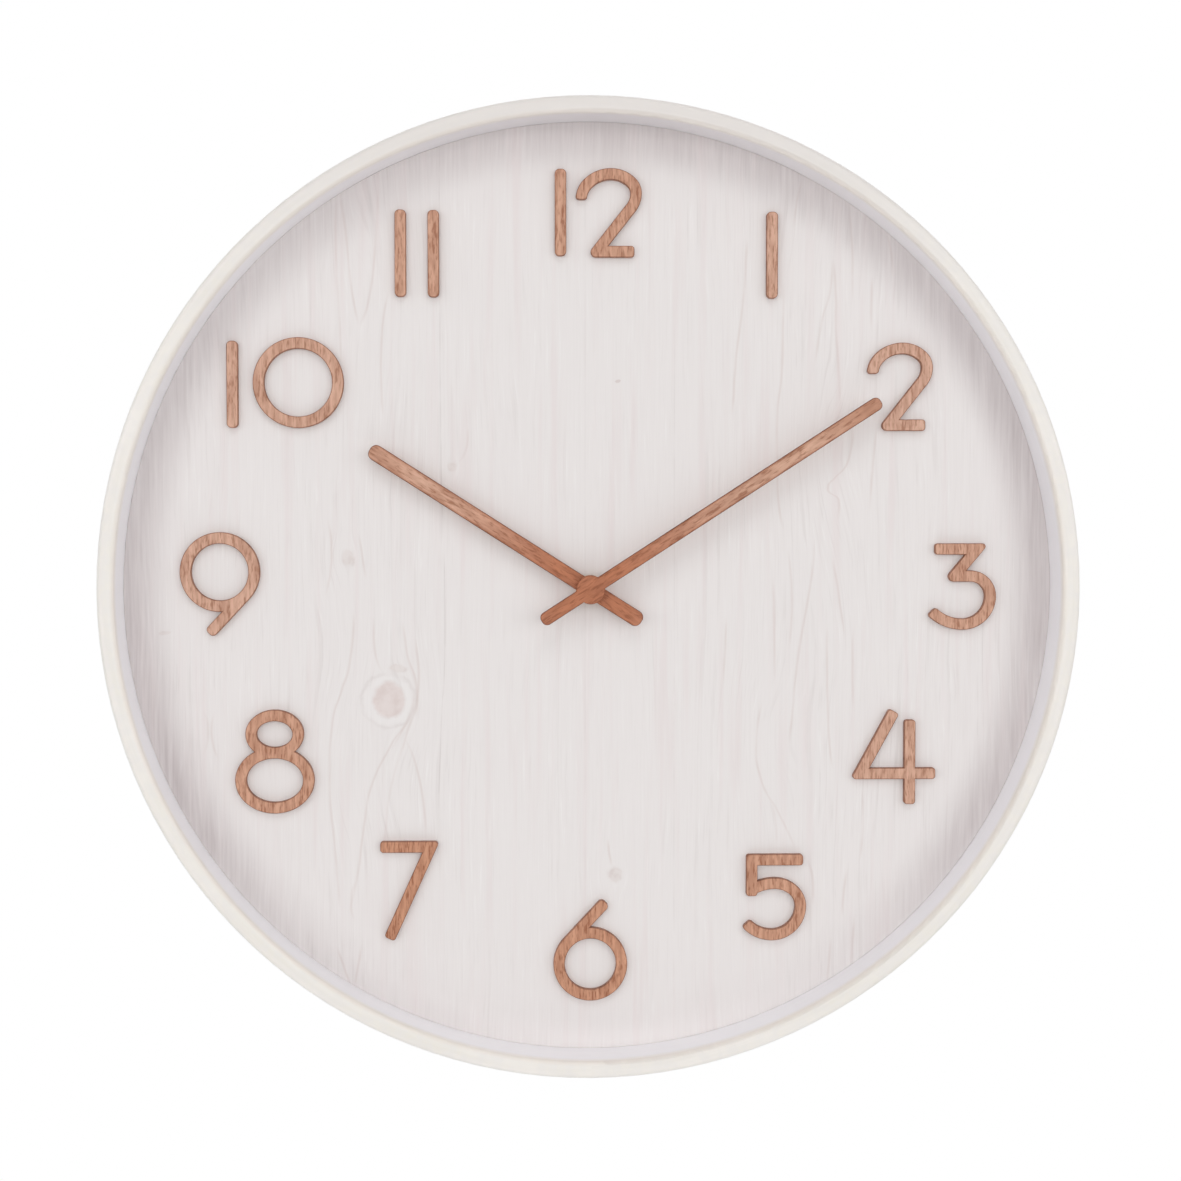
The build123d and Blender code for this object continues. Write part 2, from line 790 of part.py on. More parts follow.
with BuildPart() as fixing_nut:
    with BuildSketch(on_axis(centre_axis, dial_front + washer_thickness)):
        RegularPolygon(nut_flats / 2, 6, major_radius=False)
        Circle(stem_radius, mode=Mode.SUBTRACT)
    extrude(amount=nut_thickness)

# Motor: stator plate, coil core, bobbin and winding
stator_leg = 3.4
stator_ring_radius = 6.0
stator_hole_radius = 3.6
coil_x = 23.0
stator_top, stator_low = 20.0, -3.5
core_half_width = 1.5
with BuildPart() as stator:
    with BuildSketch(on_axis(centre_axis, stator_layer[0])):
        with BuildLine():
            Polyline(
                (coil_x + core_half_width, stator_top),
                (rotor_axis[0], stator_top),
                (rotor_axis[0], stator_low),
                (coil_x + core_half_width, stator_low),
            )
        trace(line_width=stator_leg)
        with Locations(rotor_axis):
            Circle(stator_ring_radius)
            Circle(stator_hole_radius, mode=Mode.SUBTRACT)
    extrude(amount=stator_layer[1] - stator_layer[0])

with BuildPart() as coil_core:
    block(
        coil_x - core_half_width,
        coil_x + core_half_width,
        stator_low - stator_leg / 2,
        stator_top + stator_leg / 2,
        *core_layer,
    )

flange_width, flange_depth, flange_thickness = 6.0, 4.6, 1.0
tube_width, tube_depth = 4.2, 2.0
slot_width, slot_depth = 3.1, 0.9
winding_width, winding_depth = 5.4, 3.8
bobbin_low, bobbin_high = 0.5, 16.5
coil_centre = (coil_x, -sum(core_layer) / 2)
with BuildPart() as coil_bobbin:
    with BuildSketch(Plane.XY.offset(bobbin_low), Plane.XY.offset(bobbin_high - flange_thickness)):
        with Locations(coil_centre):
            RectangleRounded(flange_width, flange_depth, flange_thickness)
    extrude(amount=flange_thickness)
    with BuildSketch(Plane.XY.offset(bobbin_low)):
        with Locations(coil_centre):
            Rectangle(tube_width, tube_depth)
    extrude(amount=bobbin_high - bobbin_low)
    with BuildSketch(Plane.XY.offset(bobbin_low)):
        with Locations(coil_centre):
            Rectangle(slot_width, slot_depth)
    extrude(amount=bobbin_high - bobbin_low, mode=Mode.SUBTRACT)

with BuildPart() as coil_winding:
    with BuildSketch(Plane.XY.offset(bobbin_low + flange_thickness)):
        with Locations(coil_centre):
            RectangleRounded(winding_width, winding_depth, flange_thickness)
            Rectangle(tube_width, tube_depth, mode=Mode.SUBTRACT)
    extrude(amount=bobbin_high - bobbin_low - 2 * flange_thickness)

# Circuit board with its chip under a drop of resin, and the crystal beside it
board_left, board_right = contact_thickness - inner_right, -9.5
board_top = inner_top - contact_thickness
board_height = 11.0
board_bottom = board_top - board_height
chip_place = (-14.5, 18.0)
chip_radius = 2.4
chip_rise = 0.9
crystal_radius = 1.0
crystal_length = 6.0
crystal_place = (-22.0, 18.0)
with BuildPart() as circuit_board:
    block(board_left, board_right, board_bottom, board_top, *board_layer)
    with Locations((chip_place[0], -board_layer[0], chip_place[1])):
        Cone(
            chip_radius,
            chip_radius / 2,
            chip_rise,
            rotation=(-90, 0, 0),
            align=(Align.CENTER, Align.CENTER, Align.MIN),
        )

with BuildPart() as quartz_crystal:
    with Locations((crystal_place[0], crystal_radius - board_layer[0], crystal_place[1])):
        Cylinder(crystal_radius, crystal_length)

# Contacts: sprung strips from the ends of the cell's trough, along the walls to the circuit board
contact_drop = 3.5
contact_low = cell_z - contact_drop
leaf_rise = 2.5
strip_line = inner_right - contact_thickness / 2
cell_end = cell_length / 2
dimple_radius = 1.5
negative_strip_top = 20.0
positive_strip_end = -12.0
with BuildPart() as positive_contact:
    with BuildSketch(on_axis(centre_axis, contact_back)):
        with BuildLine():
            Polyline(
                (strip_line, contact_low),
                (strip_line, inner_top - contact_thickness / 2),
                (positive_strip_end, inner_top - contact_thickness / 2),
            )
        trace(line_width=contact_thickness)
    extrude(amount=contact_width)
    dimple_height = inner_right - contact_thickness - cell_end - contact_gap
    with Locations((inner_right - contact_thickness, -(contact_back + contact_front) / 2, cell_z)):
        Cylinder(
            dimple_radius,
            dimple_height,
            rotation=(0, -90, 0),
            align=(Align.CENTER, Align.CENTER, Align.MIN),
        )

leaf_bow = inner_right - contact_thickness - cell_end - contact_gap
with BuildPart() as negative_contact:
    with BuildSketch(on_axis(centre_axis, contact_back)):
        with BuildLine():
            Polyline(
                (-strip_line, negative_strip_top),
                (-strip_line, contact_low),
                (-strip_line + leaf_bow, cell_z),
                (-strip_line + leaf_bow / 2, cell_z + leaf_rise),
            )
        trace(line_width=contact_thickness)
    extrude(amount=contact_width)

# AA cell
with BuildPart() as aa_cell:
    with Locations((-cell_end, -cell_level, cell_z)):
        Cylinder(
            cell_radius,
            cell_length - cell_nub_length,
            rotation=(0, 90, 0),
            align=(Align.CENTER, Align.CENTER, Align.MIN),
        )
    chamfer(aa_cell.edges().filter_by(GeomType.CIRCLE), cell_edge)
    with Locations((cell_end - cell_nub_length, -cell_level, cell_z)):
        Cylinder(
            cell_nub_radius,
            cell_nub_length,
            rotation=(0, 90, 0),
            align=(Align.CENTER, Align.CENTER, Align.MIN),
        )


# One file for each piece, named after it
pieces = {
    "case_ring": case_ring.part,
    "support_ring": support_ring.part,
    "dial_board": dial_board.part,
    **numerals,
    "keyhole_hanger": keyhole_hanger.part,
    "hanger_screws": hanger_screws.part,
    "hour_hand": hour_hand.part,
    "hour_hand_bush": hour_hand_bush.part,
    "minute_hand": minute_hand.part,
    "minute_hand_bush": minute_hand_bush.part,
    "movement_case": movement_case.part,
    "movement_cover": movement_cover.part,
    "bearing_plate": bearing_plate.part,
    "rubber_washer": rubber_washer.part,
    "dial_washer": dial_washer.part,
    "fixing_nut": fixing_nut.part,
    "minute_pipe": minute_pipe,
    "hour_wheel": hour_wheel,
    "reverse_wheel": reverse_wheel,
    "setting_knob": setting_knob.part,
    "centre_wheel": centre_wheel,
    "third_wheel": third_wheel,
    "seconds_wheel": seconds_wheel,
    "fifth_wheel": fifth_wheel,
    "rotor_pinion": rotor_pinion,
    "rotor_magnet": rotor_magnet.part,
    "stator": stator.part,
    "coil_core": coil_core.part,
    "coil_bobbin": coil_bobbin.part,
    "coil_winding": coil_winding.part,
    "circuit_board": circuit_board.part,
    "quartz_crystal": quartz_crystal.part,
    "positive_contact": positive_contact.part,
    "negative_contact": negative_contact.part,
    "aa_cell": aa_cell.part,
}

os.makedirs("parts", exist_ok=True)
for name, piece in pieces.items():
    piece.label = name
    export_step(piece, f"parts/{name}.step")
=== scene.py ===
import json
import math
from types import SimpleNamespace

import bpy
from mathutils import Euler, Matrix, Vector

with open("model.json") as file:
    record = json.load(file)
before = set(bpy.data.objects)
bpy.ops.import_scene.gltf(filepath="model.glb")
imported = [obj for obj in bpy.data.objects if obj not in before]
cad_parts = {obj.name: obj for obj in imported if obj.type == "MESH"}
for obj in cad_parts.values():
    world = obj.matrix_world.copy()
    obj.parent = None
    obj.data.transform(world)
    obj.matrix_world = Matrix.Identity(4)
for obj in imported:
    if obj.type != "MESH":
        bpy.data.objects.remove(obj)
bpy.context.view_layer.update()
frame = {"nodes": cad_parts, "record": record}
parts = frame["nodes"]

# Metres, in the frame of the CAD: +Z up, the dial faces -Y
MM = 0.001

# Camera, worked out from the circles of the lip and of the dial
CAMERA_PLACE = Vector((-30.2, -916.8, 36.3)) * MM
CAMERA_YAW = math.radians(1.901)
CAMERA_PITCH = math.radians(2.309)
CAMERA_LENS = 67.25
SENSOR_WIDTH = 36.0

# The case's bore, and where its front lip rounds into the wall inside
CASE_BORE = 193.0 * MM
LIP_ROUNDING = (-21.6 * MM, -16.0 * MM)

# Growth lines that show on the dial, each from its top to its foot by given points (x, z) in mm
GROWTH_LINES = [
    [
        (-98.1, -8.0), (-99.3, -27.0), (-102.9, -41.5), (-107.1, -56.0),
        (-108.5, -81.0), (-106.3, -108.0), (-104.4, -134.0),
    ],
    [
        (-72.6, -40.0), (-74.5, -51.0), (-83.4, -66.0), (-91.7, -84.5),
        (-94.9, -104.0), (-96.5, -117.0), (-101.0, -137.0),
    ],
    [(-73.0, -18.0), (-71.6, -42.0), (-76.2, -60.5), (-82.5, -81.0), (-86.0, -108.0)],
    [(-89.8, -10.0), (-89.4, -25.0), (-85.0, -36.0)],
    [(-78.0, -12.0), (-76.0, -27.0), (-72.4, -40.0), (-72.0, -56.0)],
    [(-103.4, 166.0), (-101.0, 150.0), (-98.6, 126.0), (-95.2, 108.0)],
    [(-87.4, 168.0), (-88.5, 141.0), (-91.0, 122.0), (-95.0, 108.0)],
    [(-104.3, 164.0), (-104.9, 141.0), (-103.6, 114.0), (-102.8, 92.0)],
    [(-83.0, 124.0), (-86.3, 96.5), (-85.6, 70.0)],
    [(101.0, 138.0), (99.8, 123.5), (97.1, 114.0), (93.4, 92.0)],
    [(101.2, 138.0), (102.3, 121.5), (102.5, 108.5), (104.6, 74.0)],
    [(110.0, 70.0), (107.6, 53.0), (102.0, 46.0), (99.4, 41.5), (103.7, 37.0), (103.0, 27.0)],
    [(119.8, 70.0), (117.8, 49.5), (116.6, 30.0)],
    [(80.4, 128.0), (80.0, 94.0), (77.8, 61.0), (81.0, 24.0)],
    [(72.4, -46.0), (69.6, -66.5), (71.4, -79.0), (78.5, -92.9), (83.9, -103.7), (86.4, -111.0)],
    [(94.0, 24.0), (92.5, 4.5), (87.1, -28.0), (83.6, -66.0)],
    [(82.0, 18.0), (84.4, -2.0), (83.4, -26.0)],
    [(-95.9, 24.0), (-94.3, 12.0), (-92.7, 3.3)],
    [(-108.9, 30.0), (-107.2, 17.0), (-110.0, -4.0)],
    [(-50.9, 68.0), (-51.6, 57.7), (-56.4, 51.0)],
    [(7.4, -104.0), (7.9, -110.0), (9.2, -117.0)],
    [(-96.3, -120.9), (-99.7, -130.6), (-97.7, -139.7)],
    [(-71.8, -42.0), (-74.0, -52.0), (-78.5, -60.0), (-84.0, -69.0)],
    [(65.0, 147.0), (64.2, 124.0), (61.2, 99.6), (58.9, 70.7)],
    [(107.4, 160.0), (109.0, 140.0), (109.3, 118.0)],
    [(117.6, 132.0), (117.3, 120.0), (117.0, 106.0)],
    [(101.0, 14.0), (104.6, -6.0), (107.0, -22.0)],
    [(110.3, -14.0), (110.0, -32.0), (110.3, -52.0)],
    [(99.2, -14.0), (99.4, -40.0), (100.2, -63.0), (102.6, -77.0)],
    [(76.4, 6.0), (77.0, -12.0), (77.2, -40.0)],
    [(56.8, -10.0), (56.4, -26.0), (55.8, -42.0)],
    [(114.2, -82.0), (114.7, -98.0), (113.2, -116.0)],
    [(-155.5, -50.0), (-157.0, -60.0), (-153.5, -72.0)],
    [(-160.5, -50.0), (-158.5, -58.0), (-161.0, -70.0)],
    [(101.3, -145.0), (100.6, -156.6), (99.4, -170.0)],
    [(75.4, -88.0), (77.8, -96.7), (78.5, -108.0)],
    [(111.1, -136.0), (110.5, -149.1), (109.9, -162.0)],
    [(90.0, -111.5), (93.0, -119.0), (93.7, -124.7), (93.6, -134.0)],
    [(108.1, -117.0), (106.8, -127.4), (105.9, -139.0)],
    [(-77.8, -60.8), (-72.5, -73.5), (-69.4, -88.4), (-68.2, -106.0)],
    [(-95.5, -148.0), (-96.9, -158.6), (-98.6, -168.0)],
    [(-106.0, -148.5), (-102.6, -158.5), (-99.0, -168.0)],
    [(123.3, 149.0), (125.4, 138.4), (126.0, 128.0)],
    [(88.8, 172.0), (85.7, 159.3), (84.4, 148.0)],
]
GROWTH_LINE_HALF_WIDTH = 0.9

# Joints between the boards, the same way, with how much each shows
BOARD_JOINTS = [
    ([(-62.0, 186.0), (-61.7, 51.0), (-60.4, 5.0), (-60.4, -26.0), (-61.7, -51.0), (-63.9, -112.0)], 0.5),
    ([(-2.0, 190.0), (-2.0, -190.0)], 0.22),
    ([(40.6, 172.0), (40.6, 90.0)], 0.3),
    ([(35.2, 110.0), (35.2, -190.0)], 0.25),
]
BOARD_JOINT_HALF_WIDTH = 0.5

# Knots: x, z and size in mm, and flatness. The grain parts round those in the first list only.
PARTING_KNOTS = [
    (-83.5, -46.2, 7.0, 0.88),
    (-100.3, 13.0, 2.9, 0.9),
    (-57.0, 51.0, 2.0, 1.0),
    (10.5, -119.9, 3.0, 0.95),
]
OTHER_KNOTS = [
    (-176.0, -18.0, 2.6, 2.6),
    (11.7, 85.9, 1.3, 1.6),
    (-80.0, -33.2, 3.6, 1.9),
]
LARGE_KNOT_HALO = (-83.9, -46.4, 7.0, 1.02)

# Eyes that the grain parts round: x, z, width and height in mm, and strength
KNOT_EYE = (1.9, 2.6, 1.05)
FLAT_CUT_EYES = [
    (-100.8, -87.9, 10.0, 42.0, 0.6),
    (-94.8, 160.0, 9.0, 40.0, 0.6),
    (100.8, 96.0, 6.0, 28.0, 0.6),
    (88.1, -78.2, 17.0, 36.0, 0.4),
    (-30.0, 110.0, 16.0, 60.0, 0.6),
    (40.0, 30.0, 14.0, 70.0, 0.6),
    (150.0, -40.0, 8.0, 40.0, 0.5),
]

# Places where the grain leans aside: x, z, width and height of the place and shift, all in mm
LEANS = [
    (-92.0, -82.0, 16.0, 24.0, -8.0),
    (-106.0, -30.0, 12.0, 26.0, 5.0),
    (-88.0, 120.0, 14.0, 40.0, 6.0),
    (74.0, -60.0, 12.0, 26.0, -7.0),
    (104.0, -20.0, 14.0, 34.0, 6.0),
    (100.0, 60.0, 12.0, 24.0, -6.0),
    (80.0, 110.0, 14.0, 50.0, -5.0),
    (150.0, 60.0, 14.0, 50.0, 5.0),
    (-150.0, 60.0, 14.0, 60.0, 4.0),
    (20.0, -60.0, 16.0, 60.0, 4.0),
]

# Each numeral is cut from its own piece of veneer, some of them paler and some redder
NUMERAL_WARMTH = {
    1: 0.1, 2: 0.0, 3: 0.3, 4: 0.15, 5: 0.6, 6: 0.9,
    7: 1.0, 8: 0.55, 9: 0.1, 10: 0.15, 11: 0.4, 12: 0.5,
}
NUMERAL_PALE = ((220, 177, 154), (210, 154, 122))
NUMERAL_DEEP = ((172, 122, 97), (153, 91, 59))
NUMERAL_EDGE = ((168, 116, 90), (132, 88, 66))
UPRIGHT = (0.0, 0.0, 1.0)

# The hands as drawn: angle from 12, sizes, how much darker the tip is, and the two tones of the wood
HANDS = {
    "hour_hand": SimpleNamespace(
        angle=math.radians(302.5),
        half_width=3.3 * MM,
        length=107.5 * MM,
        tip_share=0.36,
        pale=(223, 178, 153),
        deep=(169, 116, 88),
    ),
    "minute_hand": SimpleNamespace(
        angle=math.radians(57.0),
        half_width=2.75 * MM,
        length=142.4 * MM,
        tip_share=0.58,
        pale=(218, 173, 147),
        deep=(162, 108, 81),
    ),
}
HAND_EDGE = ((138, 82, 55), (106, 60, 39))

# Studio: the floor, and the soft boxes by name, place, width, height and power
FLOOR_LEVEL = -1.2
FLOOR_RADIUS = 2.0
FLOOR_SIDES = 64
SOFT_BOXES = [
    ("front_box", (0.0, -2.4, 0.15), 1.4, 1.2, 13.0),
    ("left_box", (-2.0, -2.2, 0.3), 2.8, 1.6, 18.0),
    ("right_box", (2.0, -2.2, 0.3), 2.8, 1.6, 18.0),
    ("top_box", (0.0, -2.2, 2.4), 1.8, 1.6, 15.5),
    ("rear_box", (0.6, 1.6, 1.2), 1.4, 1.4, 6.0),
]


def srgb(colour):
    """A linear colour from 8-bit display values."""
    def linear(value):
        share = value / 255
        return share / 12.92 if share <= 0.04045 else ((share + 0.055) / 1.055) ** 2.4
    return tuple(linear(value) for value in colour) + (1.0,)


class Graph:
    """A material's node tree, with a short call for each kind of node that is used here."""

    def __init__(self, name):
        self.material = bpy.data.materials.new(name)
        self.material.use_nodes = True
        self.tree = self.material.node_tree
        self.shader = self.tree.nodes["Principled BSDF"]
        self.place = self.add("ShaderNodeTexCoord").outputs["Object"]
        self.normal = self.add("ShaderNodeNewGeometry").outputs["Normal"]

    def add(self, kind, settings=None, inputs=None):
        node = self.tree.nodes.new(kind)
        for key, value in (settings or {}).items():
            setattr(node, key, value)
        for key, value in (inputs or {}).items():
            self.feed(node.inputs[key], value)
        return node

    def feed(self, socket, value):
        if isinstance(value, bpy.types.NodeSocket):
            self.tree.links.new(value, socket)
        else:
            socket.default_value = value

    def set(self, **inputs):
        for key, value in inputs.items():
            self.feed(self.shader.inputs[key.replace("_", " ")], value)

    def math(self, operation, first, second=0.0, third=0.0):
        inputs = {0: first, 1: second, 2: third}
        return self.add("ShaderNodeMath", {"operation": operation}, inputs).outputs[0]

    def scaled(self, value, factor):
        return self.math("MULTIPLY", value, factor)

    def vector(self, operation, first, second=(0.0, 0.0, 0.0)):
        node = self.add("ShaderNodeVectorMath", {"operation": operation}, {0: first, 1: second})
        return node.outputs["Value" if operation in ("DOT_PRODUCT", "LENGTH") else "Vector"]

    def split(self, vector):
        return self.add("ShaderNodeSeparateXYZ", inputs={0: vector}).outputs

    def join(self, x, y, z):
        return self.add("ShaderNodeCombineXYZ", inputs={0: x, 1: y, 2: z}).outputs[0]

    def radius(self, x, z):
        """Distance from the axis of the hands."""
        return self.vector("LENGTH", self.join(x, 0.0, z))

    def noise(self, vector, scale, detail=2.0, roughness=0.5):
        settings = {"noise_dimensions": "3D"}
        inputs = {"Vector": vector, "Scale": scale, "Detail": detail, "Roughness": roughness}
        return self.add("ShaderNodeTexNoise", settings, inputs).outputs["Fac"]

    def stretched_noise(self, scales, detail=2.0, roughness=0.5):
        """Noise over the place, with its own scale along each axis."""
        return self.noise(self.vector("MULTIPLY", self.place, scales), 1.0, detail, roughness)

    def line_noise(self, value, scale, detail=2.0, roughness=0.5):
        """Noise along one value, for lines of uneven spacing and depth."""
        settings = {"noise_dimensions": "1D"}
        inputs = {"W": value, "Scale": scale, "Detail": detail, "Roughness": roughness}
        return self.add("ShaderNodeTexNoise", settings, inputs).outputs["Fac"]

    def span(self, value, low, high, to_low=0.0, to_high=1.0, smooth=True):
        """Maps low..high to to_low..to_high. A smooth span holds its ends, so no clamp is needed."""
        settings = {"interpolation_type": "SMOOTHSTEP" if smooth else "LINEAR", "clamp": False}
        inputs = {"Value": value, "From Min": low, "From Max": high, "To Min": to_low, "To Max": to_high}
        return self.add("ShaderNodeMapRange", settings, inputs).outputs[0]

    def mix(self, share, first, second):
        """Mixes two colours, each a socket or 8-bit display values."""
        node = self.add("ShaderNodeMix", {"data_type": "RGBA"})
        self.feed(node.inputs[0], share)
        for socket, colour in ((node.inputs[6], first), (node.inputs[7], second)):
            self.feed(socket, srgb(colour) if isinstance(colour, tuple) else colour)
        return node.outputs[2]

    def speckle(self, grain, cloud):
        """A share from fine grain and larger clouds."""
        from_grain = self.span(grain, 0.3, 0.7, 0.0, 0.6)
        from_cloud = self.span(cloud, 0.3, 0.7, 0.0, 0.4)
        return self.math("ADD", from_grain, from_cloud)

    def bump(self, height, strength, distance):
        inputs = {"Height": height, "Strength": strength, "Distance": distance}
        self.set(Normal=self.add("ShaderNodeBump", inputs=inputs).outputs["Normal"])


def knot_share(g, place, knot):
    """How deep in a knot a point is: over 1 in its heart, about 1 at its edge, falling off outside it."""
    knot_x, knot_z, size, flatness = knot
    off = g.vector("SUBTRACT", place, (knot_x * MM, 0.0, knot_z * MM))
    off = g.vector("MULTIPLY", off, (1 / (size * MM), 0.0, flatness / (size * MM)))
    return g.math("DIVIDE", 1.0, g.math("ADD", g.vector("DOT_PRODUCT", off, off), 0.05))


def swell_at(g, swell_x, swell_z, width, height):
    """A smooth hill of height 1, and the offset across it in widths."""
    off = g.vector("SUBTRACT", g.place, (swell_x * MM, 0.0, swell_z * MM))
    off = g.vector("MULTIPLY", off, (1 / (width * MM), 0.0, 1 / (height * MM)))
    hill = g.math("EXPONENT", g.scaled(g.vector("DOT_PRODUCT", off, off), -1.0))
    return hill, g.split(off)["X"]


def parted(g, field, eye):
    """Bends the grain outwards on both sides of an eye, as it grows round a knot or a flat cut."""
    eye_x, eye_z, width, height, strength = eye
    hill, across = swell_at(g, eye_x, eye_z, width, height)
    return g.math("ADD", field, g.scaled(g.math("MULTIPLY", across, hill), -width * strength))


def leaned(g, field, lean):
    """Moves the grain sideways about a point."""
    lean_x, lean_z, width, height, shift = lean
    hill, _ = swell_at(g, lean_x, lean_z, width, height)
    return g.math("MULTIPLY_ADD", hill, -shift, field)


def growth_line(g, x, z, route, half_width):
    """A single line along points (x, z) in mm, from its top to its foot, thinning out at both."""
    top = route[0][1]
    foot = route[-1][1]
    taper = min(9.0, (top - foot) / 3)
    west = min(point[0] for point in route) - 1.0
    east = max(point[0] for point in route) + 1.0
    bend = g.add("ShaderNodeFloatCurve", inputs={"Value": g.span(z, foot * MM, top * MM, smooth=False)})
    knees = bend.mapping.curves[0].points
    for point_x, point_z in route[1:-1]:
        knees.new((point_z - foot) / (top - foot), (point_x - west) / (east - west))
    knees[0].location = (0.0, (route[-1][0] - west) / (east - west))
    knees[len(knees) - 1].location = (1.0, (route[0][0] - west) / (east - west))
    bend.mapping.update()
    middle = g.span(bend.outputs[0], 0.0, 1.0, west * MM, east * MM, smooth=False)
    gap = g.math("ABSOLUTE", g.math("SUBTRACT", x, middle))
    start = g.span(z, (top - taper) * MM, top * MM, 1.0, 0.0)
    end = g.span(z, foot * MM, (foot + taper) * MM)
    line = g.span(gap, 0.0, half_width * MM, 1.0, 0.0)
    return g.math("MULTIPLY", line, g.math("MULTIPLY", start, end))


def bent_grain(g, x, wobble):
    """The place across the grain in mm, with the grain's sway and its bends round knots and flat cuts."""
    sway = g.stretched_noise((16.0, 1.0, 7.0))
    field = g.math("MULTIPLY_ADD", x, 1 / MM, g.math("MULTIPLY_ADD", sway, 11.0, -5.5))
    field = g.math("ADD", field, g.math("MULTIPLY_ADD", wobble, 1.0, -0.5))
    for lean in LEANS:
        field = leaned(g, field, lean)
    wide, high, strength = KNOT_EYE
    for knot_x, knot_z, size, _ in PARTING_KNOTS:
        field = parted(g, field, (knot_x, knot_z, wide * size, high * size, strength))
    for eye in FLAT_CUT_EYES:
        field = parted(g, field, eye)
    return field


def dial_grain(g):
    """The patterns of the dial's wood that its front and its back share."""
    x, _, z = g.split(g.place)
    wobble = g.stretched_noise((150.0, 1.0, 45.0))
    field = bent_grain(g, x, wobble)
    patches = g.stretched_noise((34.0, 1.0, 17.0), 3.0, 0.6)
    coarse = g.line_noise(field, 0.30, 2.0, 0.55)
    streak_place = g.join(g.scaled(field, 0.8), 0.0, g.scaled(z, 36.0))

    # Small bends, so that knots aren't true ovals
    warp = g.add("ShaderNodeTexNoise", inputs={"Vector": g.place, "Scale": 260.0, "Detail": 3.0})
    bent = g.vector("ADD", g.place, g.vector("MULTIPLY", warp.outputs["Color"], (3.0 * MM, 0.0, 3.0 * MM)))
    bent = g.vector("SUBTRACT", bent, (1.5 * MM, 0.0, 1.5 * MM))
    return SimpleNamespace(
        x=x,
        z=z,
        wobble=wobble,
        bent=bent,
        coarse=coarse,
        late=g.math("MULTIPLY", g.span(coarse, 0.59, 0.68), g.span(patches, 0.44, 0.64)),
        fine=g.line_noise(g.math("ADD", field, 40.0), 0.95, 3.0, 0.6),
        fade=g.stretched_noise((80.0, 1.0, 36.0), 3.0, 0.6),
        fibre=g.stretched_noise((1300.0, 1.0, 24.0), 3.0, 0.65),
        blush=g.stretched_noise((180.0, 1.0, 9.0)),
        streak=g.noise(streak_place, 1.0, 2.0, 0.6),
        dense=g.span(patches, 0.36, 0.62, 0.35, 1.0),
    )


def washed_face(g, grain):
    """The wash, with the grain, the growth lines and the joints between boards showing through it."""
    lines = g.math("MULTIPLY", g.span(grain.fine, 0.54, 0.74), g.span(grain.fade, 0.42, 0.66))
    tone = g.math("ADD", g.scaled(grain.late, 0.24), g.scaled(lines, 0.13))
    tone = g.math("ADD", tone, g.span(grain.fibre, 0.36, 0.74, 0.0, 0.12))
    tone = g.math("MULTIPLY_ADD", g.span(grain.streak, 0.26, 0.46, 0.26, 0.0), grain.dense, tone)
    tone = g.math("MULTIPLY", tone, g.span(g.math("ABSOLUTE", grain.x), 20.0 * MM, 90.0 * MM, 0.6, 0.95))

    waved = g.math("MULTIPLY_ADD", grain.wobble, 1.2 * MM, g.math("SUBTRACT", grain.x, 0.6 * MM))
    depth = g.span(grain.fade, 0.30, 0.60, 0.16, 0.44)
    drawn = 0.0
    for route in GROWTH_LINES:
        line = growth_line(g, waved, grain.z, route, GROWTH_LINE_HALF_WIDTH)
        drawn = g.math("MULTIPLY_ADD", line, depth, drawn)
    for route, weight in BOARD_JOINTS:
        line = growth_line(g, grain.x, grain.z, route, BOARD_JOINT_HALF_WIDTH)
        tone = g.math("MULTIPLY_ADD", line, g.span(grain.fade, 0.34, 0.6, 0.0, weight), tone)

    pale = g.math("MULTIPLY", g.span(grain.streak, 0.56, 0.76, 0.0, 0.6), grain.dense)
    wash = g.mix(tone, (238, 233, 231), (211, 203, 200))
    wash = g.mix(pale, wash, (246, 243, 241))
    wash = g.mix(drawn, wash, (217, 203, 198))
    return g.mix(g.span(grain.blush, 0.50, 0.76, 0.0, 0.30), wash, (229, 214, 213))


def with_knots(g, wash, grain, shares):
    """Smudges for the small knots. The large one is pink, with a pale ring and a thin dark line round it."""
    large = shares[0]
    mottle = g.noise(g.place, 170.0, 3.0, 0.55)
    core = g.mix(g.span(mottle, 0.34, 0.66), (230, 217, 213), (219, 202, 197))
    smudge = g.mix(g.span(mottle, 0.38, 0.62), (229, 220, 216), (210, 195, 190))
    for small in shares[1:]:
        wash = g.mix(g.span(small, 0.5, 1.7, 0.0, 0.55), wash, smudge)
    halo = knot_share(g, grain.bent, LARGE_KNOT_HALO)
    ring = g.math("MULTIPLY", g.span(halo, 0.42, 0.54), g.span(large, 0.80, 0.98, 1.0, 0.0))
    rim = g.math("MULTIPLY", g.span(halo, 0.30, 0.37), g.span(halo, 0.38, 0.46, 1.0, 0.0))
    wash = g.mix(g.scaled(ring, 0.25), wash, (244, 241, 239))
    wash = g.mix(g.math("MULTIPLY", rim, g.span(grain.fade, 0.36, 0.60, 0.04, 0.34)), wash, (211, 202, 199))
    return g.mix(g.span(large, 0.82, 1.45, 0.0, 0.75), wash, core)


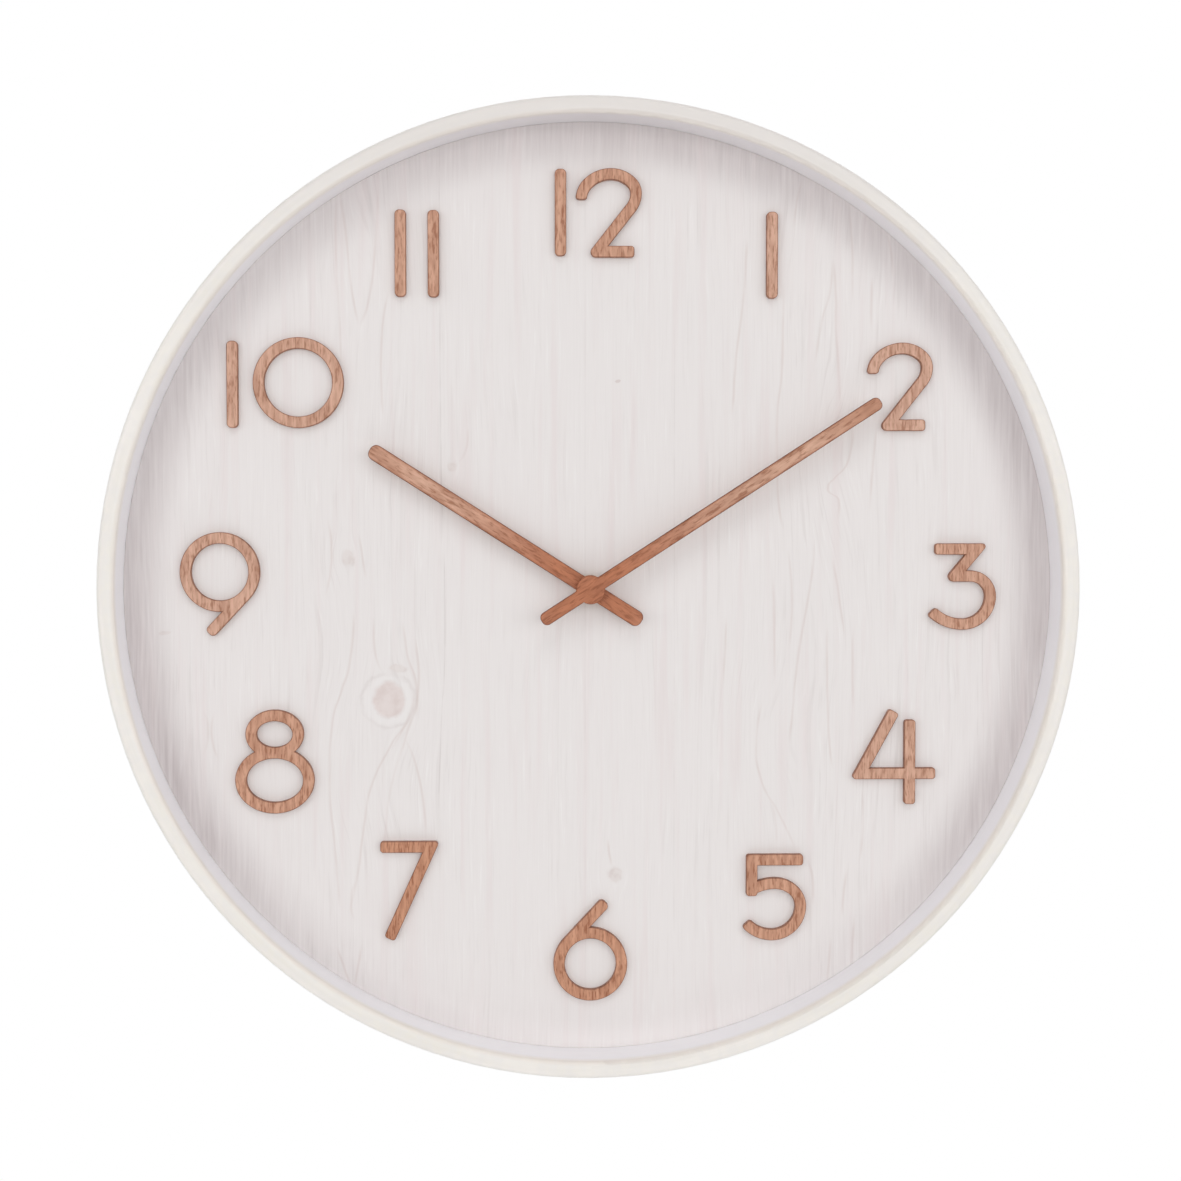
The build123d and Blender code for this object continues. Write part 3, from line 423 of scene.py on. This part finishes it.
def painted_hoop_shade(g, wash, grain):
    """Painted shade on the wash towards the hoop, where the hoop's wall shades the dial: most at the sides
    and least at the bottom, broken up along the grain.
    """
    x, z = grain.x, grain.z
    radius = g.radius(x, z)
    outer = g.span(radius, 171.0 * MM, 189.0 * MM, 0.0, 0.5)
    hoop_shade = g.math("MULTIPLY", outer, g.span(radius, 189.0 * MM, CASE_BORE, 1.0, 0.8))
    aside = g.math("DIVIDE", g.math("ABSOLUTE", x), radius)
    sides = g.math("ADD", g.span(aside, 0.1, 0.6, 0.2, 0.0), g.span(aside, 0.6, 0.97, 0.65, 1.0))
    hoop_shade = g.math("MULTIPLY", hoop_shade, g.math("MULTIPLY", sides, g.span(z, -175.0 * MM, -95.0 * MM, 0.1, 1.0)))
    upper_left = g.math("DIVIDE", g.math("SUBTRACT", z, x), radius)
    hoop_shade = g.math("MULTIPLY", hoop_shade, g.span(upper_left, 0.9, 1.35, 1.0, 0.72))
    lower_left = g.math("DIVIDE", g.math("ADD", z, x), radius)
    edge = g.span(radius, 182.0 * MM, 190.0 * MM)
    hoop_shade = g.math("ADD", hoop_shade, g.math("MULTIPLY", edge, g.span(lower_left, -1.3, -0.9, 0.1, 0.0)))
    streaks = g.span(grain.streak, 0.32, 0.68, 0.65, 0.35)
    ragged = g.math("ADD", streaks, g.span(grain.blush, 0.3, 0.7, 0.7, 0.3))
    # The grey that the painted shade darkens the wash towards
    return g.mix(g.math("MULTIPLY", hoop_shade, ragged), wash, (182, 170, 170))


def bare_back(g, grain, shares):
    """Bare pine, with darker rings, fibres and knots."""
    early = g.span(grain.fine, 0.40, 0.74, 0.0, 0.3)
    rings = g.math("ADD", g.span(grain.coarse, 0.42, 0.66, 0.0, 0.7), early)
    bare = g.mix(rings, (214, 181, 138), (190, 147, 102))
    bare = g.mix(g.span(grain.fibre, 0.40, 0.74, 0.0, 0.35), bare, (170, 126, 84))
    for share in shares:
        bare = g.mix(g.span(share, 0.5, 1.6, 0.0, 0.8), bare, (126, 78, 46))
    return bare


def whitewashed_pine():
    """Pine boards under a thin white wash in front, and bare behind."""
    g = Graph("whitewashed_pine")
    grain = dial_grain(g)
    shares = [knot_share(g, grain.bent, knot) for knot in PARTING_KNOTS + OTHER_KNOTS]
    wash = washed_face(g, grain)
    wash = with_knots(g, wash, grain, shares)
    # Painted shade on the dial next to the hoop
    wash = painted_hoop_shade(g, wash, grain)
    front = g.span(g.split(g.normal)["Y"], -0.5, -0.2, 1.0, 0.0)
    g.set(
        Base_Color=g.mix(front, bare_back(g, grain, shares), wash),
        Roughness=g.span(grain.fibre, 0.2, 0.8, 0.5, 0.62),
    )
    g.bump(g.math("ADD", grain.fibre, g.scaled(grain.late, 0.5)), 0.08, 0.1 * MM)
    return g.material


def cream_paint():
    """Satin cream paint on a bent hoop, with the wood's grain just showing round the hoop."""
    g = Graph("cream_paint")
    x, y, z = g.split(g.place)
    turn = g.math("ARCTAN2", x, z)
    radius = g.radius(x, z)
    grain = g.noise(g.join(g.scaled(turn, 6.0), g.scaled(y, 500.0), g.scaled(radius, 500.0)), 1.0, 4.0, 0.6)
    shade = g.speckle(grain, g.noise(g.place, 22.0))

    # The lip in front, warmer along its inner edge, and the wall inside; both have painted shade towards the
    # top
    lip = g.mix(shade, (248, 243, 237), (241, 236, 227))
    mottle = g.noise(g.place, 210.0)
    lip = g.mix(g.span(mottle, 0.35, 0.65, 0.0, 0.5), lip, (240, 236, 232))
    lip = g.mix(g.span(z, 100.0 * MM, 200.0 * MM, 0.0, 0.7), lip, (228, 222, 218))
    inner_edge = g.span(radius, CASE_BORE + 0.5 * MM, CASE_BORE + 2.2 * MM, 0.35, 0.0)
    lip = g.mix(inner_edge, lip, (238, 226, 213))
    wall = g.mix(shade, (252, 250, 254), (249, 246, 251))
    # Painted shade on the wall's top part, which faces down
    wall = g.mix(g.span(z, 100.0 * MM, 195.0 * MM, 0.0, 0.7), wall, (222, 213, 216))
    at_bore = g.span(radius, CASE_BORE + 0.4 * MM, CASE_BORE + 1.6 * MM, 1.0, 0.0)
    inside = g.math("MULTIPLY", at_bore, g.span(y, *LIP_ROUNDING))
    g.set(
        Base_Color=g.mix(inside, lip, wall),
        Roughness=g.span(grain, 0.3, 0.7, 0.36, 0.46),
        Sheen_Weight=0.8,
        Sheen_Roughness=0.5,
    )
    g.bump(grain, 0.06, 0.1 * MM)
    return g.material


def brown_wood(name, grain_direction, pale, deep, edge, hand=None):
    """Stained veneer with fine pores and a scorched cut edge. A hand has painted shade along its long sides,
    in place of rounded edges, and is browner at its ends.
    """
    g = Graph(name)
    lengthwise = Vector(grain_direction)
    crosswise = Vector((lengthwise.z, 0.0, -lengthwise.x))
    along = g.vector("DOT_PRODUCT", g.place, lengthwise)
    across = g.vector("DOT_PRODUCT", g.place, crosswise)
    y = g.split(g.place)["Y"]
    broad = g.join(g.scaled(across, 520.0), g.scaled(y, 60.0), g.scaled(along, 80.0))
    figure = g.noise(broad, 1.0, 3.0, 0.6)
    narrow = g.join(g.scaled(across, 1200.0), g.scaled(y, 300.0), g.scaled(along, 230.0))
    pores = g.noise(narrow, 1.0, 2.0, 0.6)
    dark_pores = g.span(pores, 0.48, 0.72, 0.0, 0.75)
    tone = g.math("ADD", g.span(figure, 0.3, 0.7, 0.0, 0.6), dark_pores)
    face = g.mix(tone, pale, deep)
    rim = g.mix(tone, *edge)
    if hand:
        # Painted shade along the hand's long sides, standing in for rounded edges; the tip is darkened too
        side = g.span(g.math("ABSOLUTE", across), 0.55 * hand.half_width, 0.98 * hand.half_width, 0.0, 0.9)
        tip = g.span(along, 0.74 * hand.length, 0.96 * hand.length, 0.0, hand.tip_share)
        side_shade_and_dark_tip = g.mix(tone, (178, 116, 84), (148, 90, 60))
        face = g.mix(g.math("MAXIMUM", side, tip), face, side_shade_and_dark_tip)
        reach = g.math("ABSOLUTE", along)
        core = g.mix(tone, (190, 118, 80), (146, 82, 50))
        face = g.mix(g.span(reach, 10.0 * MM, 80.0 * MM, 1.0, 0.0), face, core)
        rim = g.mix(g.span(reach, 5.5 * MM, 7.5 * MM, 0.7, 0.0), rim, face)
    flat = g.span(g.math("ABSOLUTE", g.split(g.normal)["Y"]), 0.66, 0.92)
    g.set(Base_Color=g.mix(flat, rim, face), Roughness=g.span(pores, 0.3, 0.7, 0.48, 0.62))
    g.bump(g.math("SUBTRACT", figure, pores), 0.12, 0.1 * MM)
    return g.material


def blend(colours, share):
    first, second = colours
    return tuple(a + (b - a) * share for a, b in zip(first, second))


def speckled(name, first, second, size, roughness, bump=0.0, metallic=0.0, stretch=(1.0, 1.0, 1.0)):
    """A two-tone speckle of a given size in metres, with the roughness and bump that follow it."""
    g = Graph(name)
    grain = g.noise(g.vector("MULTIPLY", g.place, stretch), 1 / size, 3.0, 0.6)
    share = g.speckle(grain, g.noise(g.place, 60.0))
    g.set(
        Base_Color=g.mix(share, first, second),
        Roughness=g.span(grain, 0.3, 0.7, *roughness),
        Metallic=metallic,
    )
    if bump:
        g.bump(grain, bump, size)
    return g.material


def turned(name, first, second, roughness):
    """Turned metal: fine rings round the axis of the hands."""
    g = Graph(name)
    x, y, z = g.split(g.place)
    rings = g.noise(g.join(g.scaled(g.radius(x, z), 9000.0), g.scaled(y, 4000.0), 0.0), 1.0)
    g.set(
        Base_Color=g.mix(rings, first, second),
        Roughness=g.span(rings, 0.3, 0.7, *roughness),
        Metallic=1.0,
    )
    g.bump(rings, 0.08, 0.05 * MM)
    return g.material


def cell_jacket():
    """A plain cell: slate jacket with one pale band, bare steel at both ends."""
    g = Graph("cell_jacket")
    x = g.split(g.place)["X"]
    scuff = g.stretched_noise((300.0, 900.0, 900.0), 3.0, 0.6)
    jacket = g.mix(scuff, (74, 92, 108), (60, 76, 92))
    band = g.math("MULTIPLY", g.span(x, 15.0 * MM, 15.2 * MM), g.span(x, 19.0 * MM, 19.2 * MM, 1.0, 0.0))
    jacket = g.mix(band, jacket, (214, 216, 214))
    end = g.span(g.math("ABSOLUTE", g.split(g.normal)["X"]), 0.6, 0.75)
    nub = g.span(x, 23.8 * MM, 24.0 * MM)
    bare = g.math("MAXIMUM", end, nub)
    g.set(
        Base_Color=g.mix(bare, jacket, (190, 190, 186)),
        Metallic=bare,
        Roughness=g.span(scuff, 0.3, 0.7, 0.26, 0.4),
    )
    return g.material


def green_board():
    """Green solder mask with paler tracks and a black drop of resin over the chip."""
    g = Graph("green_board")
    x, y, z = g.split(g.place)
    weave = g.noise(g.place, 2500.0)
    tracks = g.math("SINE", g.scaled(g.math("ADD", x, z), 2200.0))
    mask = g.mix(g.span(tracks, 0.6, 0.8, 0.0, 0.6), (34, 92, 56), (64, 128, 80))
    mask = g.mix(g.span(weave, 0.4, 0.7, 0.0, 0.25), mask, (22, 66, 40))
    resin = g.span(y, 14.25 * MM, 14.35 * MM)
    g.set(Base_Color=g.mix(resin, mask, (18, 18, 19)), Roughness=g.span(weave, 0.3, 0.7, 0.32, 0.42))
    return g.material


def slot_looks():
    """The material of each of the record's slots."""
    return {
        "cream_paint": cream_paint(),
        "raw_board": speckled("raw_board", (172, 138, 104), (146, 112, 80), 0.9 * MM, (0.75, 0.9), 0.25),
        "whitewashed_pine": whitewashed_pine(),
        "zinc_steel": speckled(
            "zinc_steel", (206, 206, 202), (176, 178, 178), 2.0 * MM, (0.24, 0.4), 0.05, metallic=1.0
        ),
        "brass": turned("brass", (214, 178, 104), (190, 150, 78), (0.2, 0.34)),
        "black_plastic": speckled("black_plastic", (34, 34, 36), (26, 26, 28), 0.35 * MM, (0.42, 0.56), 0.2),
        "white_plastic": speckled(
            "white_plastic", (236, 234, 226), (226, 223, 214), 0.5 * MM, (0.3, 0.42), 0.05
        ),
        "black_rubber": speckled("black_rubber", (38, 38, 38), (28, 28, 28), 0.4 * MM, (0.75, 0.9), 0.2),
        "magnet": speckled("magnet", (84, 84, 86), (66, 66, 68), 0.3 * MM, (0.45, 0.6), 0.15, metallic=1.0),
        "lamination": speckled(
            "lamination", (168, 168, 166), (142, 142, 142), 0.6 * MM, (0.3, 0.45), 0.05,
            metallic=1.0, stretch=(1.0, 1.0, 0.1),
        ),
        "enamelled_copper": speckled(
            "enamelled_copper", (196, 112, 62), (158, 80, 40), 0.12 * MM, (0.25, 0.38), 0.4,
            metallic=1.0, stretch=(0.02, 0.02, 1.0),
        ),
        "green_board": green_board(),
        "cell_jacket": cell_jacket(),
    }


def own_looks():
    """The materials of nodes that differ from their slot's: numerals, hands and the hanger's screws."""
    looks = {}
    for hour, warmth in NUMERAL_WARMTH.items():
        name = f"numeral_{hour:02d}"
        pale = blend(NUMERAL_PALE, warmth)
        deep = blend(NUMERAL_DEEP, warmth)
        looks[name] = brown_wood(f"{name}_wood", UPRIGHT, pale, deep, NUMERAL_EDGE)
    for name, hand in HANDS.items():
        direction = (math.sin(hand.angle), 0.0, math.cos(hand.angle))
        looks[name] = brown_wood(f"{name}_wood", direction, hand.pale, hand.deep, HAND_EDGE, hand)
    looks["hanger_screws"] = speckled(
        "screw_steel", (206, 186, 126), (178, 156, 98), 0.8 * MM, (0.22, 0.36), 0.05, metallic=1.0
    )
    return looks


def dress():
    by_slot = slot_looks()
    by_node = own_looks()
    for row in frame["record"]["subparts"]:
        look = by_node.get(row["node"]) or by_slot[row["material_slot"]]
        for slot in parts[row["node"]].material_slots:
            slot.material = look


def floor():
    """A pale disc far below the clock."""
    mesh = bpy.data.meshes.new("floor")
    turns = [2 * math.pi * i / FLOOR_SIDES for i in range(FLOOR_SIDES)]
    ring = [(FLOOR_RADIUS * math.cos(turn), FLOOR_RADIUS * math.sin(turn), FLOOR_LEVEL) for turn in turns]
    mesh.from_pydata(ring, [], [list(range(FLOOR_SIDES))])
    disc = bpy.data.objects.new("floor", mesh)
    bpy.context.scene.collection.objects.link(disc)
    mesh.materials.append(speckled("floor_paint", (240, 240, 240), (236, 236, 236), 30 * MM, (0.7, 0.8)))


def studio_world():
    """White for the camera. For the light, dim in front, brighter above than below, bright behind."""
    world = bpy.data.worlds.new("studio")
    bpy.context.scene.world = world
    world.use_nodes = True
    make = world.node_tree.nodes.new
    link = world.node_tree.links.new
    world.node_tree.nodes.clear()

    def slope(source, low, high, to_low, to_high):
        node = make("ShaderNodeMapRange")
        node.interpolation_type = "SMOOTHSTEP"
        link(source, node.inputs["Value"])
        for key, value in {"From Min": low, "From Max": high, "To Min": to_low, "To Max": to_high}.items():
            node.inputs[key].default_value = value
        return node.outputs[0]

    place = make("ShaderNodeTexCoord")
    split = make("ShaderNodeSeparateXYZ")
    total = make("ShaderNodeMath")
    sky = make("ShaderNodeBackground")
    sky.inputs["Color"].default_value = (0.985, 0.985, 1.0, 1.0)
    seen = make("ShaderNodeBackground")
    seen.inputs["Color"].default_value = (1.0, 1.0, 1.0, 1.0)
    path = make("ShaderNodeLightPath")
    choose = make("ShaderNodeMixShader")
    out = make("ShaderNodeOutputWorld")
    link(place.outputs["Generated"], split.inputs[0])
    link(slope(split.outputs["Z"], -0.7, 0.5, 0.14, 0.28), total.inputs[0])
    link(slope(split.outputs["Y"], -0.6, 0.35, 0.0, 0.55), total.inputs[1])
    link(total.outputs[0], sky.inputs["Strength"])
    link(path.outputs["Is Camera Ray"], choose.inputs[0])
    link(sky.outputs[0], choose.inputs[1])
    link(seen.outputs[0], choose.inputs[2])
    link(choose.outputs[0], out.inputs["Surface"])


def soft_light(name, place, width, height, power):
    """A soft box that faces the clock."""
    light = bpy.data.lights.new(name, "AREA")
    light.shape = "RECTANGLE"
    light.size = width
    light.size_y = height
    light.energy = power
    lamp = bpy.data.objects.new(name, light)
    lamp.location = place
    lamp.rotation_euler = (-Vector(place)).to_track_quat("-Z", "Y").to_euler()
    bpy.context.scene.collection.objects.link(lamp)


def photo_camera():
    camera = bpy.data.cameras.new("camera")
    camera.lens = CAMERA_LENS
    camera.sensor_width = SENSOR_WIDTH
    viewer = bpy.data.objects.new("camera", camera)
    viewer.location = CAMERA_PLACE
    viewer.rotation_euler = Euler((math.pi / 2 - CAMERA_PITCH, 0.0, -CAMERA_YAW), "XYZ")
    bpy.context.scene.collection.objects.link(viewer)
    bpy.context.scene.camera = viewer


dress()
floor()
studio_world()
for soft_box in SOFT_BOXES:
    soft_light(*soft_box)
photo_camera()
bpy.context.scene.view_settings.view_transform = "Standard"
